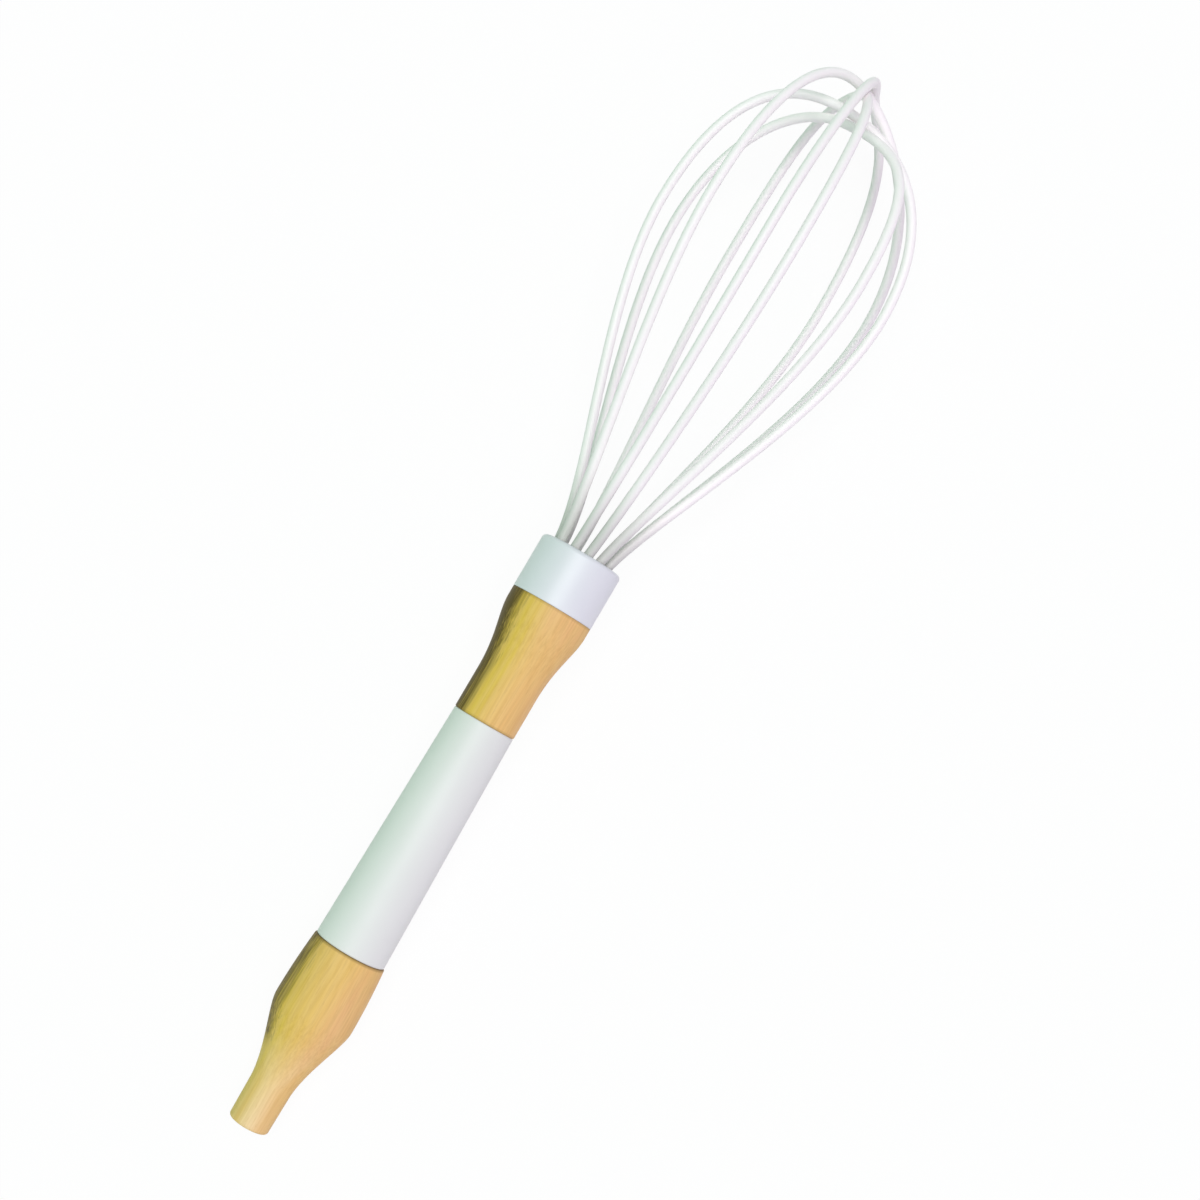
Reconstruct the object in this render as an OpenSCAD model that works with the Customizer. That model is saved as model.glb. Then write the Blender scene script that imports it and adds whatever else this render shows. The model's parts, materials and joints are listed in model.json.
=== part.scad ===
// Silicone whisk: a turned beech handle with a white grip sleeve, and a white
// collar whose holder carries a balloon of five silicone coated wire loops.
//
// Sizes are in millimetres. The pieces are drawn along +X, with the tail end
// of the handle at X = 0, +Y to the left and +Z up. Bearings turn about X,
// from +Y towards +Z. The finished whisk is then set down on the bulge of its
// handle and its two lowest loops, with the floor at Z = 0 and the origin
// under the middle of its box.

/* [Handle] */
// Length of bare wood from the tail end to the grip sleeve
tail_len = 50.2; // [42:0.1:60]
// Diameter of the tail end
tail_end_d = 10.9; // [9:0.1:13]
// Rounding of the tail end's edge
tail_end_round = 0.9; // [0.3:0.1:2]
// Diameter of the neck, a little way up from the tail end
neck_d = 11.2; // [10:0.1:14]
// Diameter of the bulge, the widest place of the tail
bulge_d = 21.8; // [18:0.1:22.4]
// Diameter of the wood where the grip sleeve starts
tail_top_d = 20; // [19.4:0.1:21.5]
// Length of bare wood between the grip sleeve and the collar
waist_len = 33.8; // [28:0.1:42]
// Diameter of the slim part of the waist
waist_d = 17.1; // [16.4:0.1:20]
// Rounding of the wood's edges at the grip sleeve
wood_edge_round = 0.4; // [0.1:0.1:0.6]

/* [Grip sleeve] */
// Length of the grip sleeve
grip_len = 66.3; // [50:0.1:80]
// Outer diameter of the grip sleeve at its tail end
grip_low_d = 19.4; // [17.5:0.1:20.5]
// Outer diameter of the grip sleeve at its head end
grip_high_d = 17; // [15.5:0.1:18.5]
// Wall of the grip sleeve
grip_wall = 1.4; // [0.8:0.1:2.2]
// Rounding of the grip sleeve's outer edges
grip_edge_round = 0.4; // [0.1:0.1:0.7]

/* [Collar] */
// Length of the collar
collar_len = 15.5; // [12.5:0.1:20]
// Outer diameter of the collar
collar_d = 22.6; // [22:0.1:26]
// Wall of the collar
collar_wall = 1.5; // [1:0.1:1.8]
// Rounding of the collar's rim on the outside
rim_round = 1.2; // [0.3:0.1:1.2]
// Rounding of the collar's other edges
collar_edge_round = 0.3; // [0.1:0.1:0.3]

/* [Wire holder and socket] */
// Depth of the holder, from the collar's rim down to the wooden tenon
holder_depth = 8.5; // [7.5:0.1:10.5]
// Depth of the holder's face below the rim, at the collar's wall
face_drop = 0.6; // [0.4:0.1:1.2]
// Height of the holder's domed face above the rim, at its middle
dome_rise = 0.6; // [0.3:0.1:1.5]
// Radius of the circle of holes in the plane of the rim
hole_circle_r = 7.3; // [6.8:0.1:7.6]
// Angle at which the holes lean outwards
splay = 8; // [4:0.5:10]
// Bearing of the first hole
first_hole = 26; // [14:1:38]
// Depth of the glue socket in the handle
socket_depth = 14; // [10:0.1:18]
// Glue between a wire and the wall of the socket
glue_wall = 0.5; // [0.3:0.1:0.9]
// Depth of a glue groove in the tenon
groove_depth = 0.4; // [0.2:0.1:0.6]
// Width of a glue groove in the tenon
groove_w = 1.2; // [0.8:0.1:1.4]

/* [Loops] */
// Diameter of the spring steel wire
wire_d = 1.5; // [1.2:0.1:1.8]
// Outer diameter of the silicone on the wire
silicone_d = 2.6; // [2.3:0.1:3]
// Length of silicone inside the holder
silicone_entry = 6; // [4:0.1:7]
// Length of bare wire left short of the socket's floor
wire_floor_gap = 0.8; // [0.5:0.1:2]
// Radius of the balloon at its widest, to the middle of a wire
balloon_r = 32.5; // [28:0.1:38]
// Height of the balloon's widest place above the rim
widest_h = 90.3; // [80:0.1:100]
// Height of the outermost crown above the rim, to the middle of its wire
crown_h = 142.2; // [131:0.1:154]
// How far the balloon stands to the right of the handle's axis
sway = 3.1; // [0:0.1:5]
// Clearance between one crown and the next
crown_gap = 0.2; // [0.1:0.05:0.5]

/* [Fits] */
// Clearance around a glued or stretched piece
fit_gap = 0.05; // [0.02:0.01:0.1]

/* [Hidden] */
loop_count = 5;
WIRES = [for (i = [1 : loop_count]) str("spring_wire_", i)];
SILICONE = [for (i = [1 : loop_count]) str("silicone_loop_", i)];

// Overrun of a cut past the face it opens
cut_over = 1;
// Points of a quarter round, points of a curve in an outline, and lathe facets
round_steps = 5;
curve_steps = 14;
lathe_fn = 96;
groove_count = 2;

// The tail's outline: where its curves start and end, as shares of its length,
// with the steepness of the flare and of the slow taper behind the bulge.
neck_share = 0.2;
bulge_share = 0.64;
flare_share = 0.94;
flare_reach_shares = [0.36, 0.55];
taper_reach_shares = [0.76, 0.88];
taper_share = 0.62;
// The waist's outline, as shares of its length
waist_share = 0.34;
shoulder_share = 0.92;
waist_reach_shares = [0.62, 0.77];
waist_swell_share = 0.99;

// Each loop has a front leg and a back leg. The holes of the legs follow the
// first one at these turns around the rim.
front_hole_turns = [0, 44, 75, 105, 138];
back_hole_turns = [173, 203, 263, 299, 327];
// The bearings are those of the balloon's widest place, and the crown is where
// the legs meet.
front_bearings = [50, 83, 97, 134, 175];
back_bearings = [201, 236, 289, 327, 354];
crown_headings = [36, 82, 106, 145, 174];
// Angle at which a crown climbs towards its front leg
crown_climbs = [13, 4, 3, -5, -4];
// Places of the crowns below the outermost one, in crown pitches
crown_places = [1, 0, 1.8, 4.3, 3.2];
// Sideways places of the crowns, and the fullness of each leg's shoulder
crown_aside_shares = [-0.013, -0.03, 0.09, 0.041, 0.079];
front_full_shares = [0.6, 0.52, 0.64, 0.7, 0.63];
back_full_shares = [0.55, 0.95, 0.72, 0.58, 0.64];
// Reach of a leg's curve above the rim and below the widest place
root_reach_share = 0.2;
widest_reach_share = 0.33;
root_sway_share = 0.55;
// The two legs that the whisk rests on: the back legs of these loops
rest_loops = [1, 2];

// Steps of a swept leg, of the shoulder above it, and the sides of the tubes
leg_steps = 8;
shoulder_steps = 12;
silicone_sides = 10;
wire_sides = 8;

tail_end_r = tail_end_d / 2;
neck_r = neck_d / 2;
bulge_r = bulge_d / 2;
tail_top_r = tail_top_d / 2;
waist_r = waist_d / 2;
grip_low_r = grip_low_d / 2;
grip_high_r = grip_high_d / 2;
collar_r = collar_d / 2;
shoulder_r = collar_r - fit_gap;
wire_r = wire_d / 2;
silicone_r = silicone_d / 2;
bore_r = wire_r + fit_gap;
crown_pitch = silicone_d + crown_gap;

grip_x = tail_len;
waist_x = grip_x + grip_len;
collar_x = waist_x + waist_len;
rim_x = collar_x + collar_len;
tenon_x = rim_x - holder_depth;
tenon_len = tenon_x - collar_x;
tenon_r = collar_r - collar_wall - fit_gap;
socket_x = tenon_x - socket_depth;
wire_end_depth = rim_x - socket_x - wire_floor_gap;
socket_r = root_r(holder_depth) + wire_r / cos(splay) + glue_wall;
bulge_x = tail_len * bulge_share;

// Radius of the circle of wires at a depth below the rim
function root_r(depth) = hole_circle_r - depth * tan(splay);

// A point of a cubic curve between p[0] and p[3]
function curve_point(p, t) =
    pow(1 - t, 3) * p[0] + 3 * t * pow(1 - t, 2) * p[1] + 3 * t * t * (1 - t) * p[2] + t * t * t * p[3];
function curve(p, steps) = [for (k = [0 : steps]) curve_point(p, k / steps)];

// A quarter round about [x, r], from one angle to another
function quarter(x, r, size, from, to) =
    [for (k = [0 : round_steps]) let (a = from + (to - from) * k / round_steps)
        [x + size * cos(a), r + size * sin(a)]];

// Outlines are lists of [place along X, radius]
tail_outline = concat(
    [[0, 0]],
    quarter(tail_end_round, tail_end_r - tail_end_round, tail_end_round, 180, 90),
    curve([
        [tail_len * neck_share, neck_r],
        [tail_len * flare_reach_shares[0], neck_r],
        [tail_len * flare_reach_shares[1], neck_r + (bulge_r - neck_r) * flare_share],
        [bulge_x, bulge_r]
    ], curve_steps),
    curve([
        [bulge_x, bulge_r],
        [tail_len * taper_reach_shares[0], bulge_r],
        [tail_len * taper_reach_shares[1], tail_top_r + (bulge_r - tail_top_r) * taper_share],
        [grip_x - wood_edge_round, tail_top_r]
    ], curve_steps),
    quarter(grip_x - wood_edge_round, tail_top_r - wood_edge_round, wood_edge_round, 90, 0)
);

seat_outline = [
    [grip_x, grip_low_r - grip_wall - fit_gap],
    [waist_x, grip_high_r - grip_wall - fit_gap]
];

waist_outline = concat(
    quarter(waist_x + wood_edge_round, waist_r - wood_edge_round, wood_edge_round, 180, 90),
    curve([
        [waist_x + waist_len * waist_share, waist_r],
        [waist_x + waist_len * waist_reach_shares[0], waist_r],
        [waist_x + waist_len * waist_reach_shares[1], waist_r + (shoulder_r - waist_r) * waist_swell_share],
        [waist_x + waist_len * shoulder_share, shoulder_r]
    ], curve_steps),
    [[collar_x, shoulder_r]]
);

groove_pitch = tenon_len / (groove_count + 1);
tenon_outline = concat(
    [[collar_x, tenon_r]],
    [for (k = [1 : groove_count]) let (x = collar_x + groove_pitch * k)
        each [
            [x - groove_w / 2, tenon_r],
            [x - groove_w / 2, tenon_r - groove_depth],
            [x + groove_w / 2, tenon_r - groove_depth],
            [x + groove_w / 2, tenon_r]
        ]],
    [[tenon_x, tenon_r]]
);

socket_outline = [[tenon_x, socket_r], [socket_x, socket_r], [socket_x, 0]];

grip_outline = concat(
    [[grip_x, grip_low_r - grip_wall]],
    quarter(grip_x + grip_edge_round, grip_low_r - grip_edge_round, grip_edge_round, 180, 90),
    quarter(waist_x - grip_edge_round, grip_high_r - grip_edge_round, grip_edge_round, 90, 0),
    [[waist_x, grip_high_r - grip_wall]]
);

collar_bore_r = collar_r - collar_wall;
collar_outline = concat(
    [[collar_x, collar_bore_r]],
    quarter(collar_x + collar_edge_round, collar_r - collar_edge_round, collar_edge_round, 180, 90),
    quarter(rim_x - rim_round, collar_r - rim_round, rim_round, 90, 0),
    quarter(rim_x - collar_edge_round, collar_bore_r + collar_edge_round, collar_edge_round, 0, -90)
);

// The holder's face is a shallow dome that meets the collar below its rim
dome_h = face_drop + dome_rise;
plug_r = collar_bore_r - fit_gap;
dome_r = (plug_r * plug_r + dome_h * dome_h) / (2 * dome_h);
dome_angle = asin(plug_r / dome_r);
dome_x = rim_x + dome_rise - dome_r;
holder_outline = concat(
    [[tenon_x, 0], [tenon_x, plug_r]],
    [for (k = [round_steps : -1 : 0]) let (a = dome_angle * k / round_steps)
        [dome_x + dome_r * cos(a), dome_r * sin(a)]]
);

// Loops: each is four cubic curves, a leg and a shoulder on either side
function bearing(angle) = [0, cos(angle), sin(angle)];
function hole_bearing(i, back) = first_hole + (back ? back_hole_turns[i] : front_hole_turns[i]);
function root(i, back, depth) = [rim_x - depth, 0, 0] + root_r(depth) * bearing(hole_bearing(i, back));
sway_step = [0, -sway, 0];
function widest(i, back) =
    [rim_x + widest_h, 0, 0] + balloon_r * bearing(back ? back_bearings[i] : front_bearings[i]) + sway_step;
function crown_height(i) = crown_h - crown_pitch * crown_places[i];
function crown(i) = [rim_x + crown_height(i), balloon_r * crown_aside_shares[i], 0] + sway_step;
function crown_way(i, back) = (back ? -1 : 1) * (bearing(crown_headings[i]) + [tan(crown_climbs[i]), 0, 0]);
function full_share(i, back) = back ? back_full_shares[i] : front_full_shares[i];

function leg_curve(i, back) = [
    root(i, back, 0),
    root(i, back, -widest_h * root_reach_share) + root_sway_share * sway_step,
    widest(i, back) - [widest_h * widest_reach_share, 0, 0],
    widest(i, back)
];
function shoulder_curve(i, back) = [
    widest(i, back),
    widest(i, back) + [(crown_height(i) - widest_h) * full_share(i, back), 0, 0],
    crown(i) + balloon_r * full_share(i, back) * crown_way(i, back),
    crown(i)
];

// One side of a loop, from a depth in the holder up to the crown
function side_path(i, back, depth) = concat(
    [root(i, back, depth)],
    curve(leg_curve(i, back), leg_steps),
    [for (k = [1 : shoulder_steps]) curve_point(shoulder_curve(i, back), k / shoulder_steps)]
);
function backwards(list) = [for (k = [len(list) - 1 : -1 : 0]) list[k]];
function loop_path(i, depth) =
    let (front = side_path(i, false, depth), back = backwards(side_path(i, true, depth)))
    concat(front, [for (k = [1 : len(back) - 1]) back[k]]);

// Rings of points square to a path. They are turned by the direction across
// the loop, which the path never runs along.
function unit(v) = v / norm(v);
function path_way(path, k) = unit(path[min(k + 1, len(path) - 1)] - path[max(k - 1, 0)]);
function ring(centre, way, across, radius, sides) =
    let (u = unit(cross(way, across)), v = cross(way, u))
    [for (j = [0 : sides - 1]) centre + radius * (cos(360 * j / sides) * u + sin(360 * j / sides) * v)];
function rings(i, depth, radius, sides) =
    let (path = loop_path(i, depth), across = cross([1, 0, 0], bearing(crown_headings[i])))
    [for (k = [0 : len(path) - 1]) each ring(path[k], path_way(path, k), across, radius, sides)];

// Two triangles for each side between two rings, wound for an outer or an inner wall
function wall_faces(ring_count, sides, first, inner) =
    [for (k = [0 : ring_count - 2], j = [0 : sides - 1])
        let (
            a = first + k * sides + j,
            b = first + k * sides + (j + 1) % sides,
            c = b + sides,
            d = a + sides
        )
        each inner ? [[a, b, c], [a, c, d]] : [[a, c, b], [a, d, c]]];
// Two triangles for each side between the outer and the inner ring of an end
function end_faces(ring_at, sides, inner_first, far) =
    [for (j = [0 : sides - 1])
        let (
            a = ring_at * sides + j,
            b = ring_at * sides + (j + 1) % sides,
            c = inner_first + b,
            d = inner_first + a
        )
        each far ? [[a, c, b], [a, d, c]] : [[a, b, c], [a, c, d]]];

ring_total = 2 * (leg_steps + shoulder_steps) + 3;

module solid_loop(i, depth, radius, sides) {
    polyhedron(
        points = rings(i, depth, radius, sides),
        faces = concat(
            wall_faces(ring_total, sides, 0, false),
            [for (j = [1 : sides - 2]) [0, j, j + 1]],
            [for (j = [1 : sides - 2]) let (last = (ring_total - 1) * sides) [last, last + j + 1, last + j]]
        )
    );
}

module hollow_loop(i, depth, outer_r, inner_r, sides) {
    inner_first = ring_total * sides;
    polyhedron(
        points = concat(rings(i, depth, outer_r, sides), rings(i, depth, inner_r, sides)),
        faces = concat(
            wall_faces(ring_total, sides, 0, false),
            wall_faces(ring_total, sides, inner_first, true),
            end_faces(0, sides, inner_first, false),
            end_faces(ring_total - 1, sides, inner_first, true)
        )
    );
}

// Setting the whisk down: a roll that levels its two lowest legs, and a tilt
// that brings them to the floor together with the bulge of the handle
rest_step = widest(rest_loops[1], true) - widest(rest_loops[0], true);
roll = -atan2(rest_step.z, rest_step.y);
function rolled(p) = [p.x, p.y * cos(roll) - p.z * sin(roll), p.y * sin(roll) + p.z * cos(roll)];
function tilt_of(p) =
    let (run = p.x - bulge_x, drop = -p.z - bulge_r)
    atan2(drop, run) + asin(silicone_r / norm([run, drop]));
tilt = max([for (i = [0 : loop_count - 1], p = loop_path(i, silicone_entry)) tilt_of(rolled(p))]);
function tilted(p) = [p.x * cos(tilt) - p.z * sin(tilt), p.y, p.x * sin(tilt) + p.z * cos(tilt)];

loop_points = [for (i = [0 : loop_count - 1], p = rings(i, silicone_entry, silicone_r, silicone_sides))
    tilted(rolled(p))];
handle_lows = [for (p = tail_outline) tilted([p.x, 0, -p.y])];
handle_ends = [for (p = tail_outline) tilted([p.x, 0, p.y])];
box_x = [min([for (p = handle_ends) p.x]), max([for (p = loop_points) p.x])];
box_y = [min([for (p = loop_points) p.y]), max([for (p = loop_points) p.y])];
floor_z = min([for (p = concat(loop_points, handle_lows)) p.z]);
set_down_step = [-(box_x[0] + box_x[1]) / 2, -(box_y[0] + box_y[1]) / 2, -floor_z];

module set_down() {
    translate(set_down_step) rotate([0, -tilt, 0]) rotate([roll, 0, 0]) children();
}

module turned(outline) {
    rotate([0, 90, 0]) rotate_extrude($fn = lathe_fn) polygon([for (p = outline) [p.y, p.x]]);
}

// A round hole along a wire's root, between two depths below the rim
module root_hole(i, back, top, bottom, radius) {
    rotate([hole_bearing(i, back), 0, 0])
        translate([rim_x, hole_circle_r, 0])
            rotate([0, 0, splay])
                rotate([0, 90, 0])
                    translate([0, 0, -bottom / cos(splay)])
                        cylinder(h = (bottom - top) / cos(splay), r = radius, $fn = lathe_fn / 2);
}

module every_root() {
    for (i = [0 : loop_count - 1], back = [false, true]) {
        $loop = i;
        $back = back;
        children();
    }
}

module handle() {
    color("#d8ad68") set_down()
        turned(concat(tail_outline, seat_outline, waist_outline, tenon_outline, socket_outline));
}

module grip_sleeve() {
    color("#eef1f3") set_down() turned(grip_outline);
}

module collar() {
    color("#eff0f4") set_down() turned(collar_outline);
}

module wire_holder() {
    color("#e4e6e4") set_down() difference() {
        turned(holder_outline);
        every_root() root_hole($loop, $back, -dome_rise - cut_over, silicone_entry, silicone_r + fit_gap);
        every_root() root_hole($loop, $back, 0, holder_depth + cut_over, bore_r);
    }
}

module socket_glue() {
    color("#d9cfa6") set_down() difference() {
        turned([[socket_x, 0], [socket_x, socket_r], [tenon_x, socket_r], [tenon_x, 0]]);
        every_root() root_hole($loop, $back, holder_depth - cut_over, wire_end_depth, bore_r);
    }
}

module spring_wire(i) {
    color("#b9bcc0") set_down() solid_loop(i, wire_end_depth, wire_r, wire_sides);
}

module silicone_loop(i) {
    color("#f1f3ef") set_down()
        hollow_loop(i, silicone_entry, silicone_r, bore_r / cos(180 / silicone_sides), silicone_sides);
}

handle();
grip_sleeve();
collar();
wire_holder();
socket_glue();
for (i = [0 : loop_count - 1]) {
    spring_wire(i);
    silicone_loop(i);
}
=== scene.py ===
import json
import math

import bmesh
import bpy
from mathutils import Matrix, Vector


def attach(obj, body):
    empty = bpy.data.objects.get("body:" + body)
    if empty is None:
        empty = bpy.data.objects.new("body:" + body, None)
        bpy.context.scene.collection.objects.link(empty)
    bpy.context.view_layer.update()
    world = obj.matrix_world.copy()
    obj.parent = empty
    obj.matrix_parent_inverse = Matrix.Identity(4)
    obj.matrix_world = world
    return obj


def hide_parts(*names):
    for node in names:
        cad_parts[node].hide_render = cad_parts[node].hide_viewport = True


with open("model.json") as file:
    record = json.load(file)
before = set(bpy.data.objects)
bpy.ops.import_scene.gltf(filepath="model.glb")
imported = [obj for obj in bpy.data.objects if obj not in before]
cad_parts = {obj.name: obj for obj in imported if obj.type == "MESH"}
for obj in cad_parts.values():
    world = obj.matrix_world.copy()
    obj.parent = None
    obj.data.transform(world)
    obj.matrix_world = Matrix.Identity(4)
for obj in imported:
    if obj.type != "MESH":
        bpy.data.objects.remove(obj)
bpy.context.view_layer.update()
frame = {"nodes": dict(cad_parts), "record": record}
print("frame loaded:", len(frame["nodes"]), "nodes")

mm = 0.001
scene = bpy.context.scene
scene.view_settings.view_transform = "Standard"

# The loops, in mm and degrees. Bearings turn about the whisk's axis, from its left side to its top.
loops = {
    "count": 5,
    "rimAt": 165.8,              # collar's rim, from the tail end
    "wire": 1.5,                 # diameters
    "silicone": 2.6,
    "wireFit": 0.05,
    "holeCircle": 7.3,           # radius, in the plane of the rim
    "splay": 8,                  # lean of the holes
    "firstHole": 26,             # bearing
    "frontHoles": [0, 44, 75, 105, 138],       # turns around the rim after the first hole
    "backHoles": [173, 203, 263, 299, 327],
    "siliconeEntry": 6,          # depths below the rim
    "wireEntry": 21.7,
    "balloonRadius": 32.5,
    "widestAt": 90.3,            # heights above the rim
    "crownAt": 142.2,
    "crownPitch": 2.8,
    "sway": 3.1,                 # how far the balloon stands right of the axis
    "fronts": [50, 83, 97, 134, 175],          # bearings of the legs at the widest place
    "backs": [201, 236, 289, 327, 354],
    "headings": [36, 82, 106, 145, 174],       # of the loops where they cross the crown
    "climbs": [13, 4, 3, -5, -4],              # towards the front, at the same place
    "places": [1, 0, 1.8, 4.3, 3.2],           # crowns below the outermost one, in pitches
    "asides": [-0.013, -0.03, 0.09, 0.041, 0.079],  # crowns to the left, in balloon radii
    "frontFull": [0.6, 0.52, 0.64, 0.7, 0.63],      # how full the shoulders are
    "backFull": [0.55, 0.95, 0.72, 0.58, 0.64],
    "rootReach": 0.2,            # handles of the curves, as shares of widestAt
    "widestReach": 0.33,
    "rootSway": 0.55,            # share of the sway at the first handle
    "restOn": [1, 2],            # the whisk lies on the back legs of these two
    "steps": 40,                 # of each of a loop's four curves
    "sides": 24,
}


def bearing(angle):
    return Vector((0, math.cos(math.radians(angle)), math.sin(math.radians(angle))))


def widestPoint(i, back):
    angle = loops["backs"][i] if back else loops["fronts"][i]
    reach = Vector((loops["rimAt"] + loops["widestAt"], -loops["sway"], 0))
    return reach + loops["balloonRadius"] * bearing(angle)


def whiskPlace():
    # the tail end's face gives the axis, and the two lowest legs give the roll about it
    tail = next(m for m in frame["record"]["mounts"] if m["name"] == "tail_end")
    along = -Vector(tail["axis"]).normalized()
    lowest = [widestPoint(i, True) for i in loops["restOn"]]
    step = lowest[1] - lowest[0]
    roll = -math.atan2(step.z, step.y)
    level = Vector((0, 1, 0))
    left = level * math.cos(roll) + along.cross(level) * math.sin(roll)
    turn = Matrix((along, left, along.cross(left))).transposed()
    return Matrix.Translation(tail["pos_m"]) @ turn.to_4x4()


whisk = whiskPlace()


def toWorld(point):
    return whisk @ (Vector(point) * mm)


# Camera: the photo looks down on the whisk, from 55 cm above its collar
view = {
    "lens": 64.8,
    "sensor": 36,
    "distance": 549,             # mm, lens to the point it is measured at
    "pointAt": 158.2,            # mm along the axis
    "pointAside": -9.58,         # mm right of the lens
    "lean": 2.9,                 # degrees by which the crown is nearer than the tail
    "slant": -0.31,
    "upright": 59.27,            # the whisk's axis above the photo's horizontal
    "nearest": 10,               # mm, what is nearer isn't drawn
}


def addCamera():
    lean = math.radians(view["lean"])
    slant = math.radians(view["slant"])
    upright = math.radians(view["upright"])
    aside = Vector((math.sin(slant), -math.cos(slant), 0))
    forward = Vector((
        math.cos(slant) * math.sin(lean),
        math.sin(slant) * math.sin(lean),
        -math.cos(lean),
    ))
    ahead = aside.cross(forward)
    right = ahead * math.cos(upright) + aside * math.sin(upright)
    up = ahead * math.sin(upright) - aside * math.cos(upright)
    place = Vector((view["pointAt"], 0, 0)) - view["pointAside"] * aside
    place -= view["distance"] * forward
    data = bpy.data.cameras.new("photoCamera")
    data.lens = view["lens"]
    data.sensor_width = view["sensor"]
    data.clip_start = view["nearest"] * mm
    camera = bpy.data.objects.new("photoCamera", data)
    turn = Matrix((right, up, -forward)).transposed().to_4x4()
    camera.matrix_world = Matrix.Translation(toWorld(place)) @ (whisk.to_3x3().to_4x4() @ turn)
    scene.collection.objects.link(camera)
    scene.camera = camera


addCamera()
print("camera placed")


def linear(hexColour):
    parts = [int(hexColour[k:k + 2], 16) / 255 for k in (1, 3, 5)]
    return [c / 12.92 if c <= 0.04045 else ((c + 0.055) / 1.055) ** 2.4 for c in parts] + [1]


def addNode(tree, kind, settings):
    # a socket goes by its name or number, and takes a value, a hex colour, or what links to it: a
    # socket, or a node for its first output in use; any other name is a setting of the node
    node = tree.nodes.new("ShaderNode" + kind)
    for name, value in settings.items():
        if isinstance(value, str) and value.startswith("#"):
            value = linear(value)
        if isinstance(value, bpy.types.Node):
            value = next(output for output in value.outputs if output.enabled)
        if isinstance(value, bpy.types.NodeSocket):
            tree.links.new(value, node.inputs[name])
        elif isinstance(name, int) or name in node.inputs:
            node.inputs[name].default_value = value
        else:
            setattr(node, name, value)
    return node


def newMaterial(name):
    material = bpy.data.materials.new(name)
    material.use_nodes = True
    material.node_tree.nodes.clear()
    return material, material.node_tree


def whiskMm(tree):
    # places on the whisk in mm, with X along its axis from the tail end
    return addNode(tree, "Mapping", {
        "vector_type": "TEXTURE",
        "Vector": addNode(tree, "TexCoord", {}).outputs["Object"],
        "Location": whisk.to_translation(),
        "Rotation": whisk.to_euler(),
        "Scale": (mm, mm, mm),
    })


# Beech, turned, sanded and oiled: warm pale wood with fine pores along the grain and a soft sheen
beech = {
    "yellow": "#E4C156",
    "pink": "#EBBC80",
    "pale": "#EECB88",
    "paintedShade": "#584806",           # painted shade, dark along the left side
    "pore": "#C6954F",
    "fibre": "#E9E2D6",
    "end": "#6B5323",            # painted shadow, dark where the wood meets a white piece
    "roughness": (0.58, 0.46),   # between the fibres, and on them
    "ior": 1.5,
    "specular": 0.2,             # oiled wood shines less than varnished wood
    "paintedHighlight": "#FBE2B6",           # painted highlight, on top, towards the tail end
    "highlightReach": 26,                # mm from the tail end
    "highlightShare": 0.8,            # how much of the wood's colour goes, at the tail end
    "highlightRiseFrom": 4.6,           # mm above the axis, where the brightest painted stripe begins
    "highlightRiseTo": 5.6,
    "highlightAround": 0.25,          # share of the painted highlight that reaches the sides
    "toneGrain": (60, 10, 10),   # sizes of the noise's grains along and across the whisk, in mm
    "fibreGrain": (14, 0.5, 0.5),
    "fibreRough": 0.55,          # how much of its finer grains the fibre noise keeps
    "poreGrain": (2.6, 0.35, 0.35),  # real pores are 0.1 mm wide: drawn coarser, so that they show
    "toneSwing": 0.9,            # how much of the turn from pink to yellow is left to chance
    "ring": 2.4,                 # mm from one growth ring to the next
    "ringBend": 1.6,             # rings by which the tone bends them
    "ringPale": 0.32,
    "fibreFrom": 0.35,           # of the noise, from a dark fibre to a pale one
    "fibreTo": 0.6,
    "fibreShare": 0.45,
    "poreFrom": 0.62,            # of the noise, from no pore to a pore
    "poreTo": 0.74,
    "poreShare": 0.24,
    "paintedTintFrom": -7,              # mm across the whisk, where the painted light tint turns its colour from pink to yellow
    "paintedTintTo": 8,
    "paintedShadeFacing": 15,            # degrees by which the painted shade's middle lies above the left side
    "paintedShadeLean": 0.0007,          # of the radius, for each mm along the whisk
    "paintedShadeFibre": 0.4,            # of the radius, by which the fibres fray its edges
    "paintedShadeFrom": 1.03,            # of the radius towards that middle, with the lean and the fraying
    "paintedShadeTo": 1.26,
    "slimFrom": 7.2,             # mm of radius below which the painted shade is turned away
    "slimTo": 8.5,
    "joints": [                  # mm from the tail end, and how dark each is
        (50.2, 0.75),
        (116.5, 0.4),
        (150.3, 0.4),
    ],
    "jointShadowWidth": 0.8,
    "bump": 0.02,                # mm
    "bumpStrength": 0.3,
}


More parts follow.
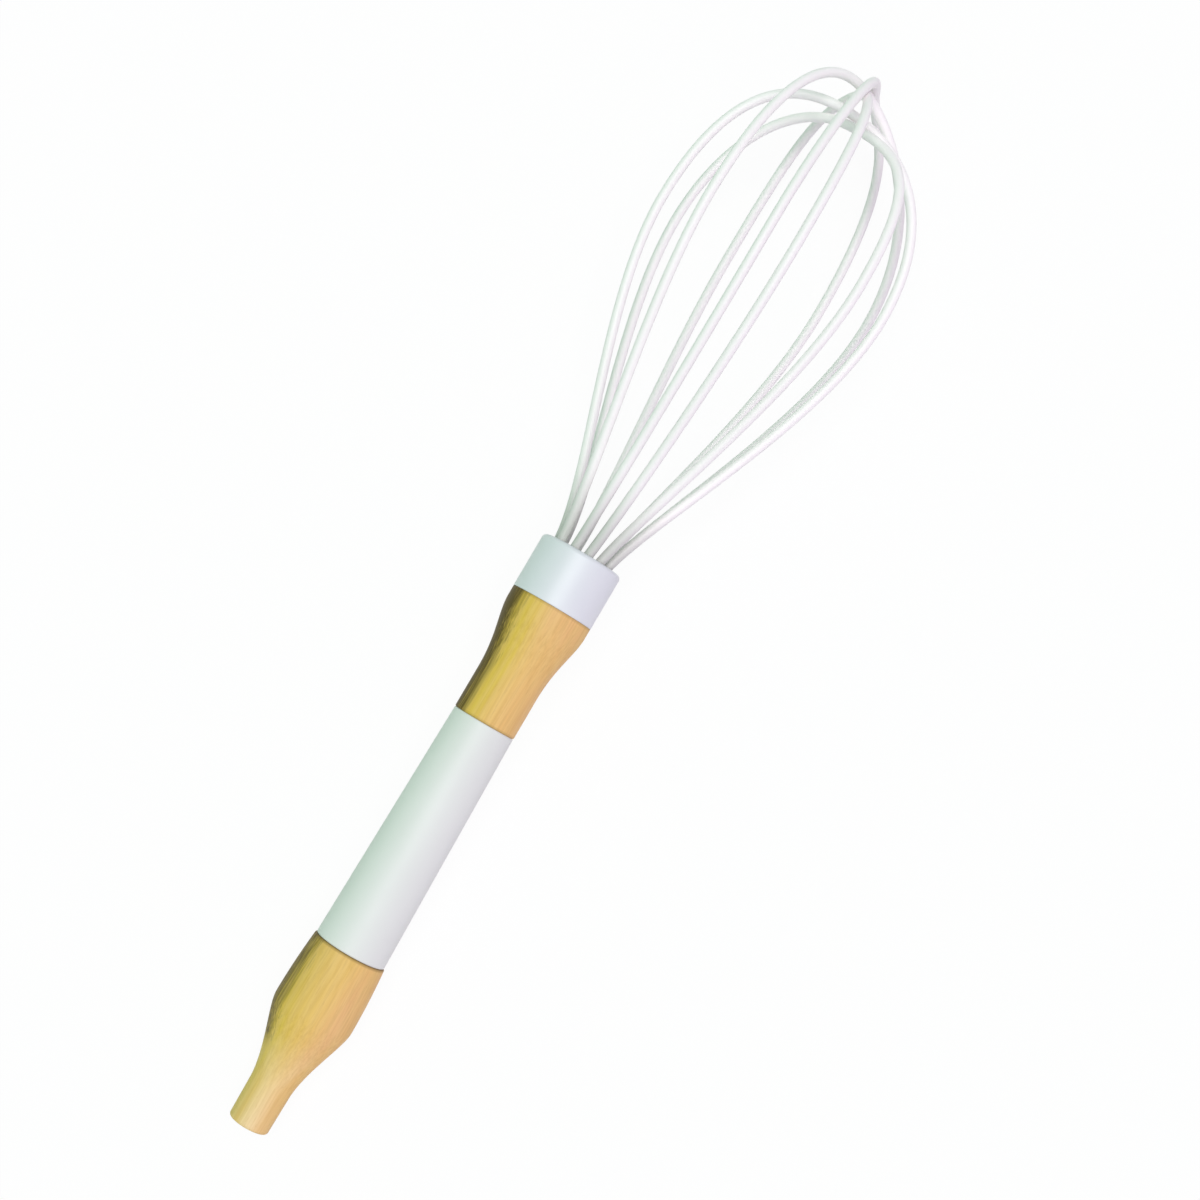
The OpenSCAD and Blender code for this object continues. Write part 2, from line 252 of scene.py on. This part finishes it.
def beechMaterial():
    material, tree = newMaterial("oiledBeech")
    place = whiskMm(tree)
    parts = addNode(tree, "SeparateXYZ", {0: place}).outputs

    # three noises, at places divided by the size of a grain
    tone = addNode(tree, "TexNoise", {
        "Vector": addNode(tree, "VectorMath", {
            "operation": "DIVIDE", 0: place, 1: beech["toneGrain"]}),
        "Scale": 1,
        "Detail": 1,
    })
    fibre = addNode(tree, "TexNoise", {
        "Vector": addNode(tree, "VectorMath", {
            "operation": "DIVIDE", 0: place, 1: beech["fibreGrain"]}),
        "Scale": 1,
        "Detail": 3,
        "Roughness": beech["fibreRough"],
    })
    pore = addNode(tree, "TexNoise", {
        "Vector": addNode(tree, "VectorMath", {
            "operation": "DIVIDE", 0: place, 1: beech["poreGrain"]}),
        "Scale": 1,
        "Detail": 2,
    })

    # painted light tint: pink on the right and yellow on the left, as the side lights colour it,
    # with some chance in it
    swing = beech["toneSwing"]
    chance = addNode(tree, "Math", {"operation": "MULTIPLY_ADD", 0: tone, 1: swing * 2, 2: -swing})
    turn = addNode(tree, "MapRange", {
        "Value": parts["Y"], "From Min": beech["paintedTintFrom"], "From Max": beech["paintedTintTo"]})
    side = addNode(tree, "Math", {"operation": "ADD", "use_clamp": True, 0: turn, 1: chance})
    colour = addNode(tree, "Mix", {
        "data_type": "RGBA", 0: side, 6: beech["pink"], 7: beech["yellow"]})

    # growth rings, as wavy layers through the blank
    bend = addNode(tree, "Math", {"operation": "MULTIPLY", 0: tone, 1: beech["ringBend"]})
    layer = addNode(tree, "Math", {
        "operation": "MULTIPLY_ADD", 0: parts["Y"], 1: 1 / beech["ring"], 2: bend})
    ring = addNode(tree, "Math", {"operation": "PINGPONG", 0: layer, 1: 0.5})
    pale = addNode(tree, "MapRange", {"Value": ring, "From Max": 0.5, "To Max": beech["ringPale"]})
    colour = addNode(tree, "Mix", {"data_type": "RGBA", 0: pale, 6: colour, 7: beech["pale"]})

    # painted highlight at the tail end, mostly on top
    nearEnd = addNode(tree, "MapRange", {
        "Value": parts["X"], "From Max": beech["highlightReach"],
        "To Min": beech["highlightShare"], "To Max": 0})
    onTop = addNode(tree, "MapRange", {
        "Value": parts["Z"], "From Min": beech["highlightRiseFrom"], "From Max": beech["highlightRiseTo"],
        "To Min": beech["highlightAround"]})
    paintedHighlight = addNode(tree, "Math", {"operation": "MULTIPLY", 0: nearEnd, 1: onTop})
    colour = addNode(tree, "Mix", {"data_type": "RGBA", 0: paintedHighlight, 6: colour, 7: beech["paintedHighlight"]})

    # painted shade: dark where the surface faces left, and is far enough from the axis
    across = addNode(tree, "CombineXYZ", {"Y": parts["Y"], "Z": parts["Z"]})
    radius = addNode(tree, "VectorMath", {"operation": "LENGTH", 0: across})
    middle = bearing(beech["paintedShadeFacing"])
    towards = addNode(tree, "VectorMath", {"operation": "DOT_PRODUCT", 0: across, 1: middle})
    facing = addNode(tree, "Math", {"operation": "DIVIDE", 0: towards, 1: radius})
    leaning = addNode(tree, "Math", {
        "operation": "MULTIPLY_ADD", 0: parts["X"], 1: beech["paintedShadeLean"], 2: facing})
    frayed = addNode(tree, "Math", {
        "operation": "MULTIPLY_ADD", 0: fibre, 1: beech["paintedShadeFibre"], 2: leaning})
    paintedShadeSide = addNode(tree, "MapRange", {
        "Value": frayed, "From Min": beech["paintedShadeFrom"], "From Max": beech["paintedShadeTo"]})
    thick = addNode(tree, "MapRange", {
        "Value": radius, "From Min": beech["slimFrom"], "From Max": beech["slimTo"]})
    paintedShade = addNode(tree, "Math", {"operation": "MULTIPLY", 0: paintedShadeSide, 1: thick})
    colour = addNode(tree, "Mix", {"data_type": "RGBA", 0: paintedShade, 6: colour, 7: beech["paintedShade"]})

    # fibres and pores
    paleFibre = addNode(tree, "MapRange", {
        "Value": fibre, "From Min": beech["fibreFrom"], "From Max": beech["fibreTo"]})
    fibres = addNode(tree, "Mix", {
        "data_type": "RGBA", 0: paleFibre, 6: beech["fibre"], 7: "#FFFFFF"})
    colour = addNode(tree, "Mix", {
        "data_type": "RGBA", "blend_type": "MULTIPLY",
        0: beech["fibreShare"], 6: colour, 7: fibres})
    pores = addNode(tree, "MapRange", {
        "Value": pore, "From Min": beech["poreFrom"], "From Max": beech["poreTo"],
        "To Max": beech["poreShare"]})
    colour = addNode(tree, "Mix", {"data_type": "RGBA", 0: pores, 6: colour, 7: beech["pore"]})
    # painted shadow lines where the wood meets the sleeve and the collar
    for at, share in beech["joints"]:
        along = addNode(tree, "Math", {"operation": "SUBTRACT", 0: parts["X"], 1: at})
        distance = addNode(tree, "Math", {"operation": "ABSOLUTE", 0: along})
        near = addNode(tree, "MapRange", {
            "Value": distance, "From Max": beech["jointShadowWidth"], "To Min": share, "To Max": 0})
        colour = addNode(tree, "Mix", {"data_type": "RGBA", 0: near, 6: colour, 7: beech["end"]})

    rough, smooth = beech["roughness"]
    shader = addNode(tree, "BsdfPrincipled", {
        "Base Color": colour,
        "Roughness": addNode(tree, "MapRange", {"Value": fibre, "To Min": rough, "To Max": smooth}),
        "IOR": beech["ior"],
        "Specular IOR Level": beech["specular"],
        "Normal": addNode(tree, "Bump", {
            "Height": fibre,
            "Distance": beech["bump"] * mm,
            "Strength": beech["bumpStrength"],
        }),
    })
    addNode(tree, "OutputMaterial", {"Surface": shader})
    return material


# Silicone rubber, moulded in an etched tool: a white that light enters a little, with a satin sheen
silicone = {
    "loop": "#FDF8F8",
    "loopShade": "#F9F3F3",
    "sleeve": "#E7E8E5",
    "sleeveShade": "#E0E2DE",
    "roughness": (0.41, 0.51),
    "ior": 1.41,
    "paintedFootShade": "#AEB1AA",          # painted shade, darker where the loops stand close above the holder
    "footShadeFrom": 165,            # mm from the tail end
    "footShadeTo": 190,
    "footShadeShare": 0.7,
    "depth": 0.3,                # mm that light spreads under the skin
    "share": 0.1,                # of the light that goes that way
    "etch": 0.6,                 # the tool's grit is about 0.05 mm: drawn coarser, so that it shows
    "bump": 0.01,                # mm
    "bumpStrength": 0.2,
    "cloud": (28, 14, 14),       # mm along and across, of its faint patches
}


def siliconeMaterial(name, colour, shade, withFootShade):
    material, tree = newMaterial(name)
    place = whiskMm(tree)
    cloud = addNode(tree, "TexNoise", {
        "Vector": addNode(tree, "VectorMath", {
            "operation": "DIVIDE", 0: place, 1: silicone["cloud"]}),
        "Scale": 1,
        "Detail": 2,
    })
    etch = addNode(tree, "TexNoise", {
        "Vector": place, "Scale": 1 / silicone["etch"], "Detail": 2})
    shown = addNode(tree, "Mix", {"data_type": "RGBA", 0: cloud, 6: shade, 7: colour})
    # painted shade on the loops' feet, darker towards the holder
    if withFootShade:
        paintedFootShade = addNode(tree, "MapRange", {
            "interpolation_type": "SMOOTHSTEP",
            "Value": addNode(tree, "SeparateXYZ", {0: place}).outputs["X"],
            "From Min": silicone["footShadeTo"],
            "From Max": silicone["footShadeFrom"],
            "To Max": silicone["footShadeShare"],
        })
        shown = addNode(tree, "Mix", {
            "data_type": "RGBA", 0: paintedFootShade, 6: shown, 7: silicone["paintedFootShade"]})
    smooth, rough = silicone["roughness"]
    shader = addNode(tree, "BsdfPrincipled", {
        "Base Color": shown,
        "Roughness": addNode(tree, "MapRange", {"Value": etch, "To Min": smooth, "To Max": rough}),
        "IOR": silicone["ior"],
        "Subsurface Weight": silicone["share"],
        "Subsurface Radius": (1, 1, 1),
        "Subsurface Scale": silicone["depth"] * mm,
        "Normal": addNode(tree, "Bump", {
            "Height": etch,
            "Distance": silicone["bump"] * mm,
            "Strength": silicone["bumpStrength"],
        }),
    })
    addNode(tree, "OutputMaterial", {"Surface": shader})
    return material


# ABS, injection moulded with a fine satin grain: an opaque, slightly cool white
absPlastic = {
    "colour": "#E3E4E9",
    "shade": "#DDDFE5",
    "roughness": (0.34, 0.46),
    "ior": 1.54,
    "grain": 0.3,                # mm: spark-eroded grain, drawn coarser so that it shows
    "cloud": 9,                  # mm, of its faint patches
    "bump": 0.02,                # mm
    "bumpStrength": 0.15,
}

# Nylon, moulded and left matt: the plug in the collar's mouth, a little greyer than the collar
nylon = {
    "colour": "#E8EAE8",
    "shade": "#DDE0DE",
    "roughness": (0.49, 0.61),
    "ior": 1.53,
    "grain": 0.4,
    "cloud": 9,
    "bump": 0.02,
    "bumpStrength": 0.15,
}


def plasticMaterial(name, plastic):
    material, tree = newMaterial(name)
    place = whiskMm(tree)
    cloud = addNode(tree, "TexNoise", {"Vector": place, "Scale": 1 / plastic["cloud"], "Detail": 2})
    grain = addNode(tree, "TexNoise", {"Vector": place, "Scale": 1 / plastic["grain"], "Detail": 3})
    smooth, rough = plastic["roughness"]
    shader = addNode(tree, "BsdfPrincipled", {
        "Base Color": addNode(tree, "Mix", {
            "data_type": "RGBA", 0: cloud, 6: plastic["shade"], 7: plastic["colour"]}),
        "Roughness": addNode(tree, "MapRange", {"Value": grain, "To Min": smooth, "To Max": rough}),
        "IOR": plastic["ior"],
        "Normal": addNode(tree, "Bump", {
            "Height": grain,
            "Distance": plastic["bump"] * mm,
            "Strength": plastic["bumpStrength"],
        }),
    })
    addNode(tree, "OutputMaterial", {"Surface": shader})
    return material


# Spring steel, drawn: bright grey with fine lines along the wire
steel = {
    "colour": "#B9BCC0",
    "line": "#9FA3A8",
    "roughness": (0.24, 0.38),
    "lineGrain": (6, 0.12, 0.12),  # mm along the whisk and across it
}


def steelMaterial():
    material, tree = newMaterial("drawnSpringSteel")
    place = whiskMm(tree)
    line = addNode(tree, "TexNoise", {
        "Vector": addNode(tree, "VectorMath", {
            "operation": "DIVIDE", 0: place, 1: steel["lineGrain"]}),
        "Scale": 1,
        "Detail": 3,
    })
    smooth, rough = steel["roughness"]
    shader = addNode(tree, "BsdfPrincipled", {
        "Base Color": addNode(tree, "Mix", {
            "data_type": "RGBA", 0: line, 6: steel["line"], 7: steel["colour"]}),
        "Metallic": 1,
        "Roughness": addNode(tree, "MapRange", {"Value": line, "To Min": smooth, "To Max": rough}),
    })
    addNode(tree, "OutputMaterial", {"Surface": shader})
    return material


# Epoxy, cast in the socket: amber and glossy, with a few bubbles
epoxy = {
    "colour": "#DCCB96",
    "bubble": "#F0E6C4",
    "spacing": 2.4,              # mm from one bubble to the next
    "bubbleEdge": (0.12, 0.25),  # of the spacing, from a bubble's middle
    "roughness": 0.15,
    "ior": 1.55,
}


def epoxyMaterial():
    material, tree = newMaterial("castEpoxy")
    spaced = addNode(tree, "VectorMath", {
        "operation": "SCALE", 0: whiskMm(tree), "Scale": 1 / epoxy["spacing"]})
    cell = addNode(tree, "TexVoronoi", {"Vector": spaced, "Scale": 1})
    inner, outer = epoxy["bubbleEdge"]
    bubble = addNode(tree, "MapRange", {
        "Value": cell.outputs["Distance"], "From Min": outer, "From Max": inner})
    shader = addNode(tree, "BsdfPrincipled", {
        "Base Color": addNode(tree, "Mix", {
            "data_type": "RGBA", 0: bubble, 6: epoxy["colour"], 7: epoxy["bubble"]}),
        "Roughness": epoxy["roughness"],
        "IOR": epoxy["ior"],
    })
    addNode(tree, "OutputMaterial", {"Surface": shader})
    return material


woodLook = beechMaterial()
loopLook = siliconeMaterial("loopSilicone", silicone["loop"], silicone["loopShade"], True)
sleeveLook = siliconeMaterial("sleeveSilicone", silicone["sleeve"], silicone["sleeveShade"], False)
collarLook = plasticMaterial("satinAbs", absPlastic)
holderLook = plasticMaterial("mattNylon", nylon)
steelLook = steelMaterial()
epoxyLook = epoxyMaterial()
print("materials made")


sharpFrom = 35                   # degrees between two faces that meet in a sharp edge


def addPiece(name, points, faces, look, node):
    mesh = bpy.data.meshes.new(name)
    mesh.from_pydata([toWorld(p) for p in points], [], faces)
    mesh.validate()
    piece = bpy.data.objects.new(name, mesh)
    scene.collection.objects.link(piece)
    mesh.materials.append(look)
    shape = bmesh.new()
    shape.from_mesh(mesh)
    bmesh.ops.recalc_face_normals(shape, faces=shape.faces)
    shape.to_mesh(mesh)
    shape.free()
    mesh.shade_smooth()
    mesh.set_sharp_from_angle(angle=math.radians(sharpFrom))
    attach(piece, "root")
    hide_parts(node)


def curvePoint(p, t):
    s = 1 - t
    return [
        s ** 3 * a + 3 * t * s * s * b + 3 * t * t * s * c + t ** 3 * d
        for a, b, c, d in zip(*p)
    ]


def curve(p, steps):
    return [curvePoint(p, k / steps) for k in range(steps + 1)]


def quarter(x, r, size, start, end, steps=8):
    # a rounded edge of an outline, about a middle at x along the axis and r from it
    angles = [math.radians(start + (end - start) * k / steps) for k in range(steps + 1)]
    return [(x + size * math.cos(a), r + size * math.sin(a)) for a in angles]


def turned(name, outline, look, node, sides=160):
    # turns an outline of (place along the axis, radius) into a closed solid; the outline may start
    # and end on the axis
    onAxis = outline[0][1] == 0
    middle = outline[1:-1] if onAxis else outline
    points = []
    for x, r in middle:
        for k in range(sides):
            angle = 2 * math.pi * k / sides
            points.append((x, r * math.cos(angle), r * math.sin(angle)))
    faces = []
    for ring in range(len(middle) - (1 if onAxis else 0)):
        here = ring * sides
        there = (ring + 1) % len(middle) * sides
        for k in range(sides):
            n = (k + 1) % sides
            faces.append((here + k, here + n, there + n, there + k))
    if onAxis:
        last = (len(middle) - 1) * sides
        points += [(outline[0][0], 0, 0), (outline[-1][0], 0, 0)]
        poles = len(points)
        for k in range(sides):
            n = (k + 1) % sides
            faces.append((poles - 2, n, k))
            faces.append((poles - 1, last + k, last + n))
    addPiece(name, points, faces, look, node)


# The handle: lengths along the axis and diameters, in mm
handle = {
    "tail": 50.2,
    "endD": 10.9,
    "endRound": 0.9,
    "neckD": 11.2,
    "bulgeD": 21.8,
    "topD": 20,
    "waist": 33.8,
    "waistD": 17.1,
    "edgeRound": 0.4,
    "neckShare": 0.2,            # where the neck ends and the bulge is, as shares of the tail
    "bulgeShare": 0.64,
    "flareReach": [0.36, 0.55],  # the curve's two handles between them
    "flareShare": 0.94,          # share of the rise at the second one
    "taperReach": [0.76, 0.88],  # the same, from the bulge to the sleeve
    "taperShare": 0.62,
    "waistShare": 0.34,          # where the swell to the shoulder begins and ends, of the waist
    "shoulderShare": 0.92,
    "waistReach": [0.62, 0.77],
    "swellShare": 0.99,
    "socket": 14,
    "socketD": 14.73,
    "tenon": 7,
    "grooves": 2,
    "grooveDepth": 0.4,
    "grooveWidth": 1.2,
    "curveSteps": 36,
}
grip = {"length": 66.3, "lowD": 19.4, "highD": 17, "wall": 1.4, "edgeRound": 0.4}
collar = {"length": 15.5, "d": 22.6, "wall": 1.5, "rimRound": 1.2, "edgeRound": 0.3, "fit": 0.05}

gripAt = handle["tail"]
waistAt = gripAt + grip["length"]
collarAt = waistAt + handle["waist"]
tenonAt = collarAt + handle["tenon"]
shoulderR = collar["d"] / 2 - collar["fit"]
boreR = collar["d"] / 2 - collar["wall"]


def tailOutline():
    length, edge = handle["tail"], handle["edgeRound"]
    neck, bulge, top = handle["neckD"] / 2, handle["bulgeD"] / 2, handle["topD"] / 2
    bulgeAt = length * handle["bulgeShare"]
    flare = curve([
        (length * handle["neckShare"], neck),
        (length * handle["flareReach"][0], neck),
        (length * handle["flareReach"][1], neck + (bulge - neck) * handle["flareShare"]),
        (bulgeAt, bulge),
    ], handle["curveSteps"])
    taper = curve([
        (bulgeAt, bulge),
        (length * handle["taperReach"][0], bulge),
        (length * handle["taperReach"][1], top + (bulge - top) * handle["taperShare"]),
        (gripAt - edge, top),
    ], handle["curveSteps"])
    endRound = handle["endRound"]
    end = quarter(endRound, handle["endD"] / 2 - endRound, endRound, 180, 90)
    return [(0, 0)] + end + flare + taper[1:] + quarter(gripAt - edge, top - edge, edge, 90, 0)[1:]


def waistOutline():
    length, edge, slim = handle["waist"], handle["edgeRound"], handle["waistD"] / 2
    swell = slim + (shoulderR - slim) * handle["swellShare"]
    rise = curve([
        (waistAt + length * handle["waistShare"], slim),
        (waistAt + length * handle["waistReach"][0], slim),
        (waistAt + length * handle["waistReach"][1], swell),
        (waistAt + length * handle["shoulderShare"], shoulderR),
    ], handle["curveSteps"])
    return quarter(waistAt + edge, slim - edge, edge, 180, 90) + rise + [(collarAt, shoulderR)]


def tenonOutline():
    radius = boreR - collar["fit"]
    outline = [(collarAt, radius)]
    for k in range(handle["grooves"]):
        middle = collarAt + handle["tenon"] * (k + 1) / (handle["grooves"] + 1)
        low, high = middle - handle["grooveWidth"] / 2, middle + handle["grooveWidth"] / 2
        floor = radius - handle["grooveDepth"]
        outline += [(low, radius), (low, floor), (high, floor), (high, radius)]
    return outline + [(tenonAt, radius)]


def seatRadius(d):
    return d / 2 - grip["wall"] - collar["fit"]


seat = [(gripAt, seatRadius(grip["lowD"])), (waistAt, seatRadius(grip["highD"]))]
socketR = handle["socketD"] / 2
socketAt = tenonAt - handle["socket"]
socket = [(tenonAt, socketR), (socketAt, socketR), (socketAt, 0)]
handleOutline = tailOutline() + seat + waistOutline() + tenonOutline() + socket
turned("beechHandle", handleOutline, woodLook, "handle")


def gripOutline():
    edge, low, high = grip["edgeRound"], grip["lowD"] / 2, grip["highD"] / 2
    return (
        [(gripAt, low - grip["wall"])]
        + quarter(gripAt + edge, low - edge, edge, 180, 90)
        + quarter(waistAt - edge, high - edge, edge, 90, 0)
        + [(waistAt, high - grip["wall"])]
    )


def collarOutline():
    outer, edge, rim = collar["d"] / 2, collar["edgeRound"], collar["rimRound"]
    rimAt = collarAt + collar["length"]
    return (
        [(collarAt, boreR)]
        + quarter(collarAt + edge, outer - edge, edge, 180, 90)
        + quarter(rimAt - rim, outer - rim, rim, 90, 0)
        + quarter(rimAt - edge, boreR + edge, edge, 0, -90)
    )


turned("gripSleeve", gripOutline(), sleeveLook, "grip_sleeve")
turned("whiteCollar", collarOutline(), collarLook, "collar")
print("turned pieces made")


def rootPoint(i, back, depth):
    angle = loops["firstHole"] + loops["backHoles" if back else "frontHoles"][i]
    radius = loops["holeCircle"] - depth * math.tan(math.radians(loops["splay"]))
    return Vector((loops["rimAt"] - depth, 0, 0)) + radius * bearing(angle)


def sidePath(i, back, depth):
    # one side of a loop, from a depth in the holder up to the crown
    sway = Vector((0, -loops["sway"], 0))
    widest = widestPoint(i, back)
    height = loops["crownAt"] - loops["crownPitch"] * loops["places"][i]
    full = loops["backFull" if back else "frontFull"][i]
    crown = Vector((loops["rimAt"] + height, loops["balloonRadius"] * loops["asides"][i], 0)) + sway
    climb = Vector((math.tan(math.radians(loops["climbs"][i])), 0, 0))
    way = (bearing(loops["headings"][i]) + climb) * (-1 if back else 1)
    leg = [
        rootPoint(i, back, 0),
        rootPoint(i, back, -loops["widestAt"] * loops["rootReach"]) + loops["rootSway"] * sway,
        widest - Vector((loops["widestAt"] * loops["widestReach"], 0, 0)),
        widest,
    ]
    shoulder = [
        widest,
        widest + Vector(((height - loops["widestAt"]) * full, 0, 0)),
        crown + loops["balloonRadius"] * full * way,
        crown,
    ]
    points = curve(leg, loops["steps"]) + curve(shoulder, loops["steps"])[1:]
    return [rootPoint(i, back, depth)] + [Vector(p) for p in points]


def tube(i, depth, radius, sides, first):
    # rings of points along a loop, and the faces between them
    path = sidePath(i, False, depth) + sidePath(i, True, depth)[-2::-1]
    across = Vector((1, 0, 0)).cross(bearing(loops["headings"][i]))
    points, faces = [], []
    for k, centre in enumerate(path):
        way = path[min(k + 1, len(path) - 1)] - path[max(k - 1, 0)]
        u = way.cross(across).normalized()
        v = way.normalized().cross(u)
        for j in range(sides):
            angle = 2 * math.pi * j / sides
            points.append(centre + radius * (math.cos(angle) * u + math.sin(angle) * v))
    for k in range(len(path) - 1):
        for j in range(sides):
            n = (j + 1) % sides
            here, there = first + k * sides, first + (k + 1) * sides
            faces.append((here + j, here + n, there + n, there + j))
    return points, faces


def addSiliconeLoop(i):
    sides = loops["sides"]
    bore = loops["wire"] / 2 + loops["wireFit"]
    outer, faces = tube(i, loops["siliconeEntry"], loops["silicone"] / 2, sides, 0)
    inner, innerFaces = tube(i, loops["siliconeEntry"], bore, sides, len(outer))
    faces += innerFaces
    for start in (0, len(outer) - sides):
        for j in range(sides):
            n = (j + 1) % sides
            faces.append((start + j, start + n, len(outer) + start + n, len(outer) + start + j))
    name = f"silicone_loop_{i + 1}"
    addPiece(f"siliconeLoop{i + 1}", outer + inner, faces, loopLook, name)


def addSpringWire(i):
    sides = loops["sides"] // 2
    points, faces = tube(i, loops["wireEntry"], loops["wire"] / 2, sides, 0)
    faces.append(tuple(range(sides)))
    faces.append(tuple(range(len(points) - sides, len(points))))
    addPiece(f"springWire{i + 1}", points, faces, steelLook, f"spring_wire_{i + 1}")


for i in range(loops["count"]):
    addSiliconeLoop(i)
    addSpringWire(i)
print("loops made")

for name, look in (("wire_holder", holderLook), ("socket_glue", epoxyLook)):
    mesh = frame["nodes"][name].data
    mesh.materials.clear()
    mesh.materials.append(look)

# Floor and light: soft light from above, a little stronger from the right, on a white surface
studio = {
    "floorSize": 8,              # metres
    "floorColour": "#F2F2F2",
    "floorSeen": 0.94,           # how much of the seen floor is plain white
    "left": "#82F5AA",           # the surroundings: green on the left, purple on the right
    "right": "#DEA2EA",
    "around": 0.44,              # strength of their light
    "lamps": [                   # strength, spread in degrees, tilt and heading of each
        (1.95, 40, 6, -90),
        (0.4, 50, 42, -125),
    ],
}


def seenRays(tree):
    # rays that see the background: straight from the camera, or by way of a mirror or glass
    path = addNode(tree, "LightPath", {}).outputs
    either = addNode(tree, "Math", {
        "operation": "MAXIMUM", 0: path["Is Camera Ray"], 1: path["Is Glossy Ray"]})
    return addNode(tree, "Math", {
        "operation": "MAXIMUM", 0: either, 1: path["Is Transmission Ray"]})


def addFloor():
    material, tree = newMaterial("whiteFloor")
    diffuse = addNode(tree, "BsdfDiffuse", {"Color": studio["floorColour"]})
    white = addNode(tree, "Emission", {"Color": "#FFFFFF"})
    share = addNode(tree, "Math", {
        "operation": "MULTIPLY", 0: seenRays(tree), 1: studio["floorSeen"]})
    shown = addNode(tree, "MixShader", {0: share, 1: diffuse, 2: white})
    addNode(tree, "OutputMaterial", {"Surface": shown})
    # the white is only there to be seen, so no light is sought in it
    material.cycles.emission_sampling = "NONE"
    half = studio["floorSize"] / 2
    mesh = bpy.data.meshes.new("floor")
    corners = [(-half, -half, 0), (half, -half, 0), (half, half, 0), (-half, half, 0)]
    mesh.from_pydata(corners, [], [(0, 1, 2, 3)])
    mesh.materials.append(material)
    floor = bpy.data.objects.new("floor", mesh)
    scene.collection.objects.link(floor)


def addLight():
    world = bpy.data.worlds.new("studio")
    scene.world = world
    world.use_nodes = True
    tree = world.node_tree
    tree.nodes.clear()
    place = addNode(tree, "TexCoord", {}).outputs["Generated"]
    across = addNode(tree, "SeparateXYZ", {0: place}).outputs["Y"]
    side = addNode(tree, "MapRange", {"Value": across, "From Min": -1, "From Max": 1})
    tint = addNode(tree, "Mix", {
        "data_type": "RGBA", 0: side, 6: studio["right"], 7: studio["left"]})
    seen = seenRays(tree)
    light = addNode(tree, "Background", {
        "Color": addNode(tree, "Mix", {"data_type": "RGBA", 0: seen, 6: tint, 7: "#FFFFFF"}),
        "Strength": addNode(tree, "MapRange", {"Value": seen, "To Min": studio["around"]}),
    })
    addNode(tree, "OutputWorld", {"Surface": light})
    for k, (power, spread, tilt, heading) in enumerate(studio["lamps"]):
        data = bpy.data.lights.new(f"softLamp{k + 1}", "SUN")
        data.energy = power
        data.angle = math.radians(spread)
        lamp = bpy.data.objects.new(f"softLamp{k + 1}", data)
        lamp.rotation_euler = (math.radians(tilt), 0, math.radians(heading + 90))
        scene.collection.objects.link(lamp)


addFloor()
addLight()
print("floor and light made")
